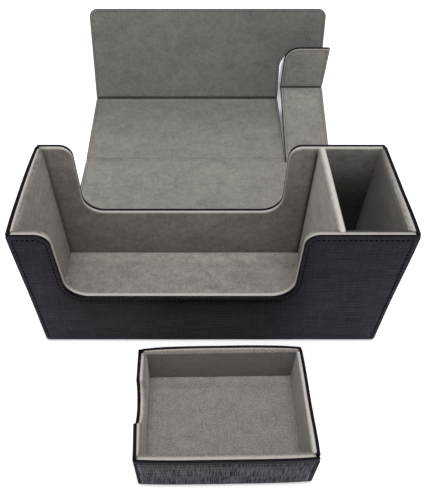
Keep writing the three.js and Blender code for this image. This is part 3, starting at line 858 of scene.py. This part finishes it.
MAIN_X = (-OUT_X, SLIT[0] + SLIT_TRIM)
BAY_X = (SLIT[1] - SLIT_TRIM, OUT_X)
SHEET_INSET = 0.6  # how far a panel's lining stays inside its free edges
SKIN_HIGH = 2.0


def panel(name, place, x_range, length, hinged, radii, seed, tone, notched=False, guides=()):
    """Skin, lining and stitching of one folding panel, which rides on the body of its name."""
    x0, x1 = x_range
    left, right = radii
    far = length - HINGE if hinged else length

    def border(d, foot, end, foot_radius, notch_end_radius, least):
        """Corners d inside the edges, anticlockwise from the hinge's left end."""
        near = [(x1 - d, foot, foot_radius)]
        if notched:
            edge = MAIN_X[1] - d
            near = [(edge, foot, foot_radius), (edge, NOTCH_REACH + d, NOTCH_CORNER + d),
                    (x1 - d, NOTCH_REACH + d, notch_end_radius)]
        return [(x0 + d, foot, foot_radius), *near, (x1 - d, end, max(right - d, least)),
                (x0 + d, end, max(left - d, least))]

    def outline(d):
        return rounded(border(d, HINGE, far if hinged else far - d, 0.5, 0.8, 0.5), 9.0)

    d, start = STITCH_INSET, HINGE + 1.0
    if hinged:
        paths = [rounded([(x, start, 0), (x, far - 1.0, 0)]) for x in (x0 + d, x1 - d)]
    else:
        first, *others = border(d, start, far - d, 0, 1.0, 1.0)
        paths = [rounded([first, *others[::-1]])]
    outer, upper = Face(place, Z, SKIN_LOW, -1), Face(place, Z, PANEL_TOP, 1)
    plate(name + "_skin", name, name + "_cover", outline(0), outer, SKIN_HIGH - SKIN_LOW, (0.85, 0.55), LINEN,
          seed=seed, paths=paths, ripple=0.05, groove=0.2)
    plate(name + "_sheet", name, name + "_lining", outline(SHEET_INSET), upper, PANEL_TOP - LINING_LOW,
          (0.5, 0.1), SUEDE_LID, seed=seed + 0.5, paths=paths, guides=guides, ripple=0.09, groove=0.1,
          tone=tone)
    sides = ((outer, THREAD), (upper, FINE_THREAD))
    stitching(name + "_stitching", name, [(path, face, radius) for path in paths for face, radius in sides])


def main_top_tone(flat):
    """Painted shade: darker towards its far edge, with a dark line along the slit."""
    x, y = flat.T
    return (1.02 - 0.28 * smooth(y, 10, 80)) * line_shade(x, SLIT[0] + 0.5, 3.2, 0.3 * smooth(y, 20, 90))


# Painted shade: the flap is darker than the other lid panels, most towards its right.
def main_flap_tone(flat):
    return 0.79 - 0.09 * smooth(flat[:, 0], -10, 70)


# Each panel's tone, after its seed, is painted light and shade: the lid panels are lit and shaded copies of
# one lining.
panel("back_panel", BACK, (-OUT_X, OUT_X), BACK_LENGTH, True, (0.8, 0.8), 31, 1.1)
panel("main_top", MAIN_TOP, MAIN_X, TOP_LENGTH, True, (0.8, 0.8), 34, main_top_tone,
      guides=[upright(x, 5.0, TOP_LENGTH - 5.0) for x in (66.0, 67.7)])
panel("main_flap", MAIN_FLAP, (-OUT_X, OUT_X), FLAP_LENGTH, False, (7.5, 7.5), 37, main_flap_tone,
      notched=True)
panel("bay_top", BAY_TOP, BAY_X, BAY_TOP_LENGTH, True, (0.8, 0.8), 40, 1.08)
panel("bay_flap", BAY_FLAP, BAY_X, BAY_FLAP_LENGTH, False, (13.0, 1.5), 43, 1.3)


def mirrored(half):
    """A line across a hinge, from its right half, which starts at the middle."""
    return [(-y, z) for y, z in half[:0:-1]] + half


SKIN_OVER = mirrored([(0, 0.35), (0.7, 0.35), (1.4, 0.34), (2.9, 0.3), (4.0, 0.1)])
SKIN_UNDER = mirrored([(0, -0.36), (0.35, -0.36), (0.7, -0.36), (1.05, -0.36), (1.4, -0.36), (2.0, -0.35),
                       (2.7, -0.3), (3.3, -0.18), (4.0, -0.1)])
LINING_OVER = mirrored([(0, 0.83), (0.65, 0.85), (1.3, 0.92), (1.9, 1.08), (2.35, 1.35), (2.6, 1.7),
                        (2.8, 2.0), (3.1, 2.12), (3.8, 2.1)])
LINING_HALF, LINING_HEIGHT, LINING_DEPTH = 3.8, 2.1, 0.36
SKIN_REACH = 1.5


def lining_section(depth, lean):
    """Lining across a hinge: depth deepens its groove, lean moves the groove towards the near panel."""
    top = [(y - lean * (1 - abs(y) / LINING_HALF), LINING_HEIGHT - depth * (LINING_HEIGHT - z))
           for y, z in LINING_OVER]
    return [(y, z - LINING_DEPTH) for y, z in top] + top[::-1]


def hinge(label, x_range, place, degrees, seed, depth=1.0, lean=0.0, dark=0.2):
    """Strip bent round the hinge at rest, and its lining, between two panels."""
    fold(label + "_fold_skin", x_range, place, degrees, SKIN_UNDER + SKIN_OVER[::-1], SKIN_REACH,
         SMOOTH, [label + "_hinge"], seed)
    x0, x1 = x_range
    fold(label + "_fold_sheet", (x0 + 0.7, x1 - 0.7), place, degrees, lining_section(depth, lean), HINGE,
         SUEDE_LID, (), seed + 1, sag=0.12, dark=dark)


# dark is the painted shade along each crease of the lining.
hinge("base", (-OUT_X, OUT_X), BACK, 0.0, 51)
hinge("main_top", MAIN_X, AT_TOP, TOP_ANGLE, 53, depth=0.16, dark=0.0)
hinge("bay_top", BAY_X, AT_TOP, BAY_TOP_ANGLE, 55, depth=0.16, dark=0.0)
hinge("main_flap", MAIN_X, AT_FLAP, FLAP_ANGLE, 57, depth=1.2, lean=0.95,
      dark=0.85)
hinge("bay_flap", BAY_X, AT_BAY_FLAP, BAY_FLAP_ANGLE, 59, depth=0.9, lean=0.8,
      dark=0.5)


# Tray

TRAY_SPLAY = 0.75  # how far the right wall stands out at its front corner
PROUD = 0.35  # how far the walls' covering stands out of the board's nominal size
TRAY_FOOT = 0.6  # lower edge of the walls' covering
LINING_SUNK = 0.6  # how far the walls' lining reaches below the floor's top
TRAY_SEAM = {"front": 0.9, "back": 1.5, "left": 1.6, "right": 1.5}
TRAY_SKIN_ROLL, TRAY_LIP_ROLL = (0.6, 0.4), (0.7, 0.35)
FLOOR_X, FLOOR_Y = TRAY_X - TRAY_WALL, TRAY_Y - TRAY_WALL


def tray_end(half, low, notched):
    """End wall of the tray in y and z, with or without its half-round thumb notch."""
    if not notched:
        return rectangle(-half, half, low, TRAY_TOP, 0.5)
    soft = 1.1
    angles = np.linspace(0, -math.pi, 25)
    arc = [(NOTCH * math.cos(a), TRAY_TOP + NOTCH * math.sin(a)) for a in angles]
    corner = [(NOTCH + soft, TRAY_TOP), (NOTCH + soft * 0.35, TRAY_TOP - soft * 0.3)]
    arc = [p for p in arc if p[1] < TRAY_TOP - soft]
    return np.array([(-half, low), (half, low), (half, TRAY_TOP), *corner, *arc,
                     *[(-u, v) for u, v in corner[::-1]], (-half, TRAY_TOP)], float)


def tray_bow(wall):
    """The thin walls stand out between their corners: (u, v) is along and up the wall."""
    def bow(flat):
        u, z = flat.T
        if wall == "left":
            return 0.95 * smooth(u, -TRAY_Y, -TRAY_Y + 26) * smooth(z, 0, 28) + 0.4
        if wall == "right":
            middle = 0.5 * (1 - np.clip(abs(u) / TRAY_Y, 0, 1) ** 4) * smooth(z, 0, 28)
            return middle + TRAY_SPLAY * smooth(-u, 0, TRAY_Y)
        free = 1 - np.clip(abs(u) / TRAY_X, 0, 1) ** 4
        return free * (0.8 if wall == "front" else 1.65 * smooth(z, 0, 30))
    return bow


def tray_left_tone(flat):
    """Painted shade: the inner part of the rim is darker."""
    return 0.88 - 0.3 * smooth(flat[:, 1], TRAY_TOP - 0.7, TRAY_TOP - 0.1)


def tray_floor_tone(flat):
    """Painted light: lighter at the far edge."""
    return 0.93 + 0.8 * smooth(flat[:, 1], FLOOR_Y - 7, FLOOR_Y)


def tray_wall(label, axis, side, out, skin_outline, lip_outline, seed, skin_wobble, lip_wobble, **lip_look):
    """Covering and lining of one wall of the tray, which stands square to an axis and out from the middle."""
    bow, seam = tray_bow(label), TRAY_SEAM[label]
    plate("tray_" + label + "_skin", "tray", "tray_" + label + "_cover", skin_outline,
          Face(TRAY, axis, side * (out + PROUD), side, bow), seam + PROUD, TRAY_SKIN_ROLL, SMOOTH, seed=seed,
          ripple=0.05, wobble=skin_wobble)
    plate("tray_" + label + "_lip", "tray", "tray_side_lining", lip_outline,
          Face(TRAY, axis, side * (out - TRAY_WALL), -side), TRAY_WALL - seam, TRAY_LIP_ROLL, SUEDE_TRAY,
          seed=seed + 4, ripple=0.08, wobble=lip_wobble, flare=bow, **lip_look)


# The linings' tone is painted shade, and their rim_tone a painted highlight on the rim.
for side, label in ((-1, "front"), (1, "back")):
    left, reach = TRAY_X + PROUD, TRAY_X - TRAY_SKIN
    right = left + (TRAY_SPLAY if side < 0 else 0.0)
    tray_wall(label, Y, side, TRAY_Y, rectangle(-left, right, TRAY_FOOT, TRAY_TOP, 0.8, 1.4),
              rectangle(-reach, reach, TRAY_FLOOR - LINING_SUNK, TRAY_TOP, 0.8), 61 + side, 0.2, 0.3,
              tone=0.7, rim=1.7, rim_tone=1.1)

for side, label in ((-1, "left"), (1, "right")):
    notched = side < 0
    reach = TRAY_Y - (0.2 if notched else TRAY_SEAM[label])
    tray_wall(label, X, side, TRAY_X, tray_end(reach, TRAY_FOOT, notched),
              tray_end(FLOOR_Y + 0.5, TRAY_FLOOR - LINING_SUNK, notched), 69 + side, 0.0, 0.2,
              tone=tray_left_tone if notched else 0.8, rim=1.3 if notched else 0.9, rim_tone=1.25)

plate("tray_floor_sheet", "tray", "tray_floor_lining", rectangle(-FLOOR_X, FLOOR_X, -FLOOR_Y, FLOOR_Y, 0.6),
      Face(TRAY, Z, TRAY_FLOOR + TRAY_PAD, 1), LINING_SUNK + TRAY_PAD, (0.3, 0.1), SUEDE_TRAY, seed=77,
      ripple=0.1, tone=tray_floor_tone)
BASE_X, BASE_Y = TRAY_X - 0.4, TRAY_Y - 0.4
plate("tray_base_skin", "tray", "tray_base_cover", rectangle(-BASE_X, BASE_X, -BASE_Y, BASE_Y, 1.5),
      Face(TRAY, Z, 0, -1), BASE_SKIN, BASE_ROLL, SMOOTH, seed=79)

BAND = 2.2  # plain turned covering left bare beside each corner
WRAP_OUT = PROUD + 0.15
WRAP_SINK = (0.885, 0.915, 0.945, 0.965)  # where the painted shade line below its top starts, holds and ends


def tray_wrap():
    """Linen-faced paper round the outside, standing a little proud, with the notch cut clear of it."""
    bx, by = TRAY_X + WRAP_OUT, TRAY_Y + WRAP_OUT
    radius = NOTCH + TRAY_TOP - WRAP_TOP
    edge_angle = math.asin((TRAY_TOP - WRAP_TOP) / radius)
    near = [0.0, BAND - 0.3, BAND, BAND + 0.3, BAND + 0.9]

    def stations(whole, count):
        return sorted({*near, *np.linspace(BAND + 5, whole - BAND - 5, count), *(whole - d for d in near)})

    long_side, short_side = stations(2 * bx, 16), stations(2 * by, 10)
    notch = [by + radius * math.cos(a) for a in np.linspace(edge_angle, math.pi - edge_angle, 25)]
    left_side = sorted({*(d for d in short_side if abs(d - by) > radius), *notch})
    ring, walls, ends, push = [], [], [], []
    for wall, run, corner, way, out in (("front", long_side, (-bx, -by), (1, 0), (0, -1)),
                                        ("right", short_side, (bx, -by), (0, 1), (1, 0)),
                                        ("back", long_side, (bx, by), (-1, 0), (0, 1)),
                                        ("left", left_side, (-bx, by), (0, -1), (-1, 0))):
        for d in run[:-1]:
            ring.append((corner[0] + way[0] * d, corner[1] + way[1] * d))
            walls.append(wall)
            ends.append(min(d, run[-1] - d))
            push.append(out)
    ring, ends, push = np.array(ring), np.array(ends), np.array(push, float)
    normals = outward(ring)
    top = np.full(len(ring), WRAP_TOP)
    on_left = np.array([wall == "left" for wall in walls]) & (abs(ring[:, 1]) < radius)
    top[on_left] = np.minimum(WRAP_TOP, TRAY_TOP - np.sqrt(radius ** 2 - ring[on_left, 1] ** 2))
    bows = [tray_bow(wall) for wall in walls]
    along = [x if wall in ("front", "back") else y for wall, (x, y) in zip(walls, ring)]
    round_in = np.clip(1 - ends / 0.9, 0, 1) * 0.1
    # Painted tone round the wrap: near black on the bare turned covering beside each corner, then a painted
    # highlight along the wrap's side edges.
    light = np.interp(ends, near, [0.06, 0.06, 2.2, 1.6, 1.0])
    run = lengths_along(ring)
    rows = [(WRAP_OUT, 0.0, 0.0), (0.15, 0.0, 0.0), (0.0, 0.0, 0.25)]
    rows += [(0.0, share, 0.0) for share in (0.2, 0.4, 0.6, 0.8, *WRAP_SINK)]
    rows += [(0.0, 1.0, -0.3), (0.05, 1.0, -0.1), (0.2, 1.0, 0.0), (WRAP_OUT, 1.0, 0.0)]
    points, lay, tone = [], [], []
    for inset, share, lift in rows:
        z = 0.15 + (top - 0.15) * share + lift
        bent = np.array([float(bow(np.array([[u, h]]))[0]) for bow, u, h in zip(bows, along, z)])
        flat = ring - normals * (inset + round_in)[:, None] + push * bent[:, None]
        points.append(np.column_stack([flat, z]))
        lay.append(np.column_stack([run, z + inset, np.full(len(ring), 81)]))
        tone.append(light * np.interp(share, WRAP_SINK, [1.0, 0.45, 0.45, 1.0]))
    points = np.vstack(points) @ TRAY[:3, :3].T + TRAY[:3, 3]
    count = len(ring)
    faces = []
    for r in range(len(rows)):
        faces += band((r + 1) % len(rows) * count, r * count, count)
    wrap = make("tray_wrap", points, faces, np.vstack(lay), 0.0, TRAY_LINEN, tone=np.concatenate(tone))
    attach(wrap, "tray")


tray_wrap()


# Stage

SEEN_GLOW, GLOSS_GLOW = 0.6, 0.1  # strength of the floor's glow, to the camera and in gloss


def openness(n, reach, low, high):
    """From 0 where a point of the floor is covered to 1 where it is open, looking up as far as reach."""
    sky = n.node("ShaderNodeAmbientOcclusion", {"Distance": reach}, samples=8)
    return n.ramp(sky.outputs["AO"], low, high)


def slit_shade(n, split, start, stop, low, high):
    """Mask of a painted shadow: 1 on the strip of floor seen through the slit, while the lids lie near it,
    and 0 elsewhere.

    Along y the shade goes from low at start to high at stop. Its places are in metres."""
    x, y = split.outputs[0], split.outputs[1]
    middle = n.math("ADD", n.ramp(y, 0.15, 0.26, 0.0708, 0.0758), n.ramp(y, 0.26, 0.35, 0.0, 0.018))
    beside = n.ramp(n.math("ABSOLUTE", n.math("SUBTRACT", x, middle)), 0.002, 0.006, 1.0, 0.0)
    behind = n.ramp(n.math("ABSOLUTE", n.math("SUBTRACT", y, 0.25)), 0.1, 0.125, 1.0, 0.0)
    near_lids = n.math("SUBTRACT", 1.0, openness(n, 0.15, 0.9, 0.98))
    return n.product(beside, behind, near_lids, n.ramp(y, start, stop, low, high))


def white_floor():
    """A pale floor with a glow that only the camera and gloss see, so that the shadows stay soft. Through the
    slit it has a painted shadow, with a painted pool of light under the main crease.
    """
    n = Nodes("floor_paper")
    place = n.node("ShaderNodeTexCoord").outputs["Object"]
    split = n.node("ShaderNodeSeparateXYZ", {"Vector": place})
    grain = n.noise(place, (40, 40, 40), 3)
    paper = n.mix(grain, (0.8, 0.8, 0.81, 1), (0.84, 0.84, 0.85, 1))
    # Painted shadow colour for the floor seen through the slit behind the main flap.
    slit_shadow = n.mix(grain, (0.23, 0.22, 0.26, 1), (0.25, 0.24, 0.28, 1))
    n.set(Base_Color=n.mix(slit_shade(n, split, 0.262, 0.323, 0.0, 1.0), paper, slit_shadow), Roughness=0.9,
          Specular_IOR_Level=0.1)
    path = n.node("ShaderNodeLightPath")
    seen = n.math("ADD", path.outputs["Is Camera Ray"], path.outputs["Is Transmission Ray"], True)
    strength = n.sum((seen, SEEN_GLOW), (path.outputs["Is Glossy Ray"], GLOSS_GLOW))
    # The glow is taken off the strip seen through the slit as painted shadow, but partly kept under the main
    # crease as a painted pool of light.
    from_crease = n.math("ABSOLUTE", n.math("SUBTRACT", split.outputs[1], 0.256))
    lit = n.math("SUBTRACT", 1.0, slit_shade(n, split, 0.0, 0.1, 1.0, 1.0))
    lit = n.math("MAXIMUM", lit, n.ramp(from_crease, 0.0, 0.032, 0.36, 0.0))
    strength = n.product(strength, n.product(lit, openness(n, 0.003, 0.4, 0.7)))
    glow = n.node("ShaderNodeEmission", {"Color": (1, 1, 1, 1), "Strength": strength})
    both = n.node("ShaderNodeAddShader")
    n.tree.links.new(n.shader.outputs[0], both.inputs[0])
    n.tree.links.new(glow.outputs[0], both.inputs[1])
    n.tree.links.new(both.outputs[0], n.tree.nodes["Material Output"].inputs["Surface"])
    return n.made


GROUND, GROUND_LOW = 6.0, 0.0002  # half the floor's width, and how far it lies under the part, in metres
ground = bpy.data.meshes.new("ground")
ground.from_pydata([(x * GROUND, y * GROUND, -GROUND_LOW) for x, y in ((-1, -1), (1, -1), (1, 1), (-1, 1))],
                   [], [(0, 1, 2, 3)])
ground.materials.append(white_floor())
ground = bpy.data.objects.new("ground", ground)
bpy.context.scene.collection.objects.link(ground)

world = bpy.data.worlds.new("studio")
bpy.context.scene.world = world
world.use_nodes = True
tree = world.node_tree
soft = tree.nodes["Background"]  # lights the part
soft.inputs["Color"].default_value = (1, 1, 1, 1)
soft.inputs["Strength"].default_value = 0.38
white = tree.nodes.new("ShaderNodeBackground")  # is seen behind it
white.inputs["Strength"].default_value = 1.0
rays = tree.nodes.new("ShaderNodeLightPath")
both = tree.nodes.new("ShaderNodeMixShader")
for made, socket in ((rays.outputs["Is Camera Ray"], both.inputs[0]), (soft.outputs[0], both.inputs[1]),
                     (white.outputs[0], both.inputs[2]),
                     (both.outputs[0], tree.nodes["World Output"].inputs["Surface"])):
    tree.links.new(made, socket)


def lamp(name, place, aim, size, power):
    data = bpy.data.lights.new(name, "AREA")
    data.shape, data.size, data.size_y = "RECTANGLE", size[0], size[1]
    data.energy = power
    made = bpy.data.objects.new(name, data)
    made.location = place
    made.rotation_euler = (Vector(aim) - Vector(place)).to_track_quat("-Z", "Y").to_euler()
    bpy.context.scene.collection.objects.link(made)


lamp("overhead", (0.0, 0.05, 1.3), (0.0, 0.05, 0.0), (0.6, 0.6), 10.0)
lamp("front_soft", (0.0, -1.25, 0.55), (0.0, 0.05, 0.0), (0.8, 0.5), 2.2)

# Camera, fitted to the photograph's corners: focal length 531.48 px on a long side of 496 px
LONG_SIDE = 496.0
camera_data = bpy.data.cameras.new("camera")
camera_data.sensor_width = 36.0
camera_data.lens = 531.48 * 36.0 / LONG_SIDE
camera_data.shift_x = (427 / 2 - 201.1) / LONG_SIDE
camera_data.shift_y = (249.71 - LONG_SIDE / 2) / LONG_SIDE
camera_data.clip_start, camera_data.clip_end = 0.01, 30.0
camera = bpy.data.objects.new("camera", camera_data)
camera.location = (-0.006341, -0.237007, 0.314081)
camera.rotation_euler = (math.radians(90 - 48.376), 0, 0)
bpy.context.scene.collection.objects.link(camera)
bpy.context.scene.camera = camera
bpy.context.scene.view_settings.view_transform = "Standard"
